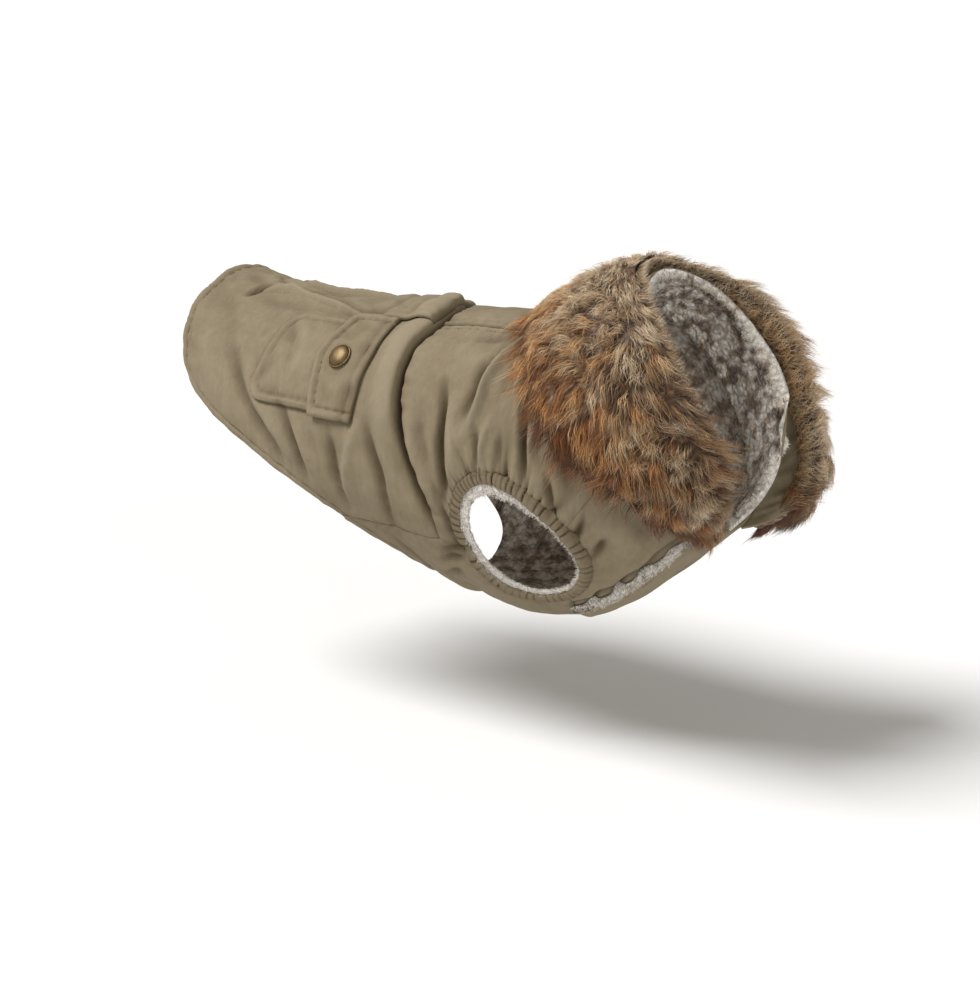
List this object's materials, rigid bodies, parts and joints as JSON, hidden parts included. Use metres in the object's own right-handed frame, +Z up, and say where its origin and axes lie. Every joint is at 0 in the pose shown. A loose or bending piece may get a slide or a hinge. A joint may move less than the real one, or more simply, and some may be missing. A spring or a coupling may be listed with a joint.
{
  "type": "dog coat",
  "caption": "Small dog's winter coat in its worn shape: brushed shell, fleece lining, flap pockets with snaps, elastic waist and armholes, and a fur-edged hood turned down round the neck.",
  "frame": {"origin": "inside of the centre back at the withers, where the wearer's back carries the coat", "axes": "+X towards the head, +Y to the wearer's left, +Z up"},
  "size_m": [0.3964, 0.178, 0.2126],
  "materials": {
    "shell_cloth": "matt brushed cloth, khaki, topstitched in matching thread",
    "pile_fleece": "matt looped pile fleece, ivory mottled with brown",
    "fur_pile": "long soft pile, brown with cream tips",
    "snap_brass": "antique brass, domed, worn bright on the crown"
  },
  "bodies": {
    "root": {"back_skirt": "shell_cloth", "centre_back_strip": "shell_cloth", "side_body_right": "shell_cloth", "side_body_left": "shell_cloth", "belly_panel": "shell_cloth", "chest_front_right": "shell_cloth", "chest_front_left": "shell_cloth", "armhole_casing_right": "shell_cloth", "armhole_casing_left": "shell_cloth", "half_belt": "shell_cloth", "pocket_right": "shell_cloth", "pocket_left": "shell_cloth", "pocket_flap_right": "shell_cloth", "pocket_flap_left": "shell_cloth", "collar_shell": "shell_cloth", "hood_shell": "shell_cloth", "chest_edge_fleece": "pile_fleece", "armhole_fleece_right": "pile_fleece", "armhole_fleece_left": "pile_fleece", "collar_fleece": "pile_fleece", "fur_trim": "fur_pile", "snap_cap_right": "snap_brass", "snap_cap_left": "snap_brass"}
  },
  "joints": []
}
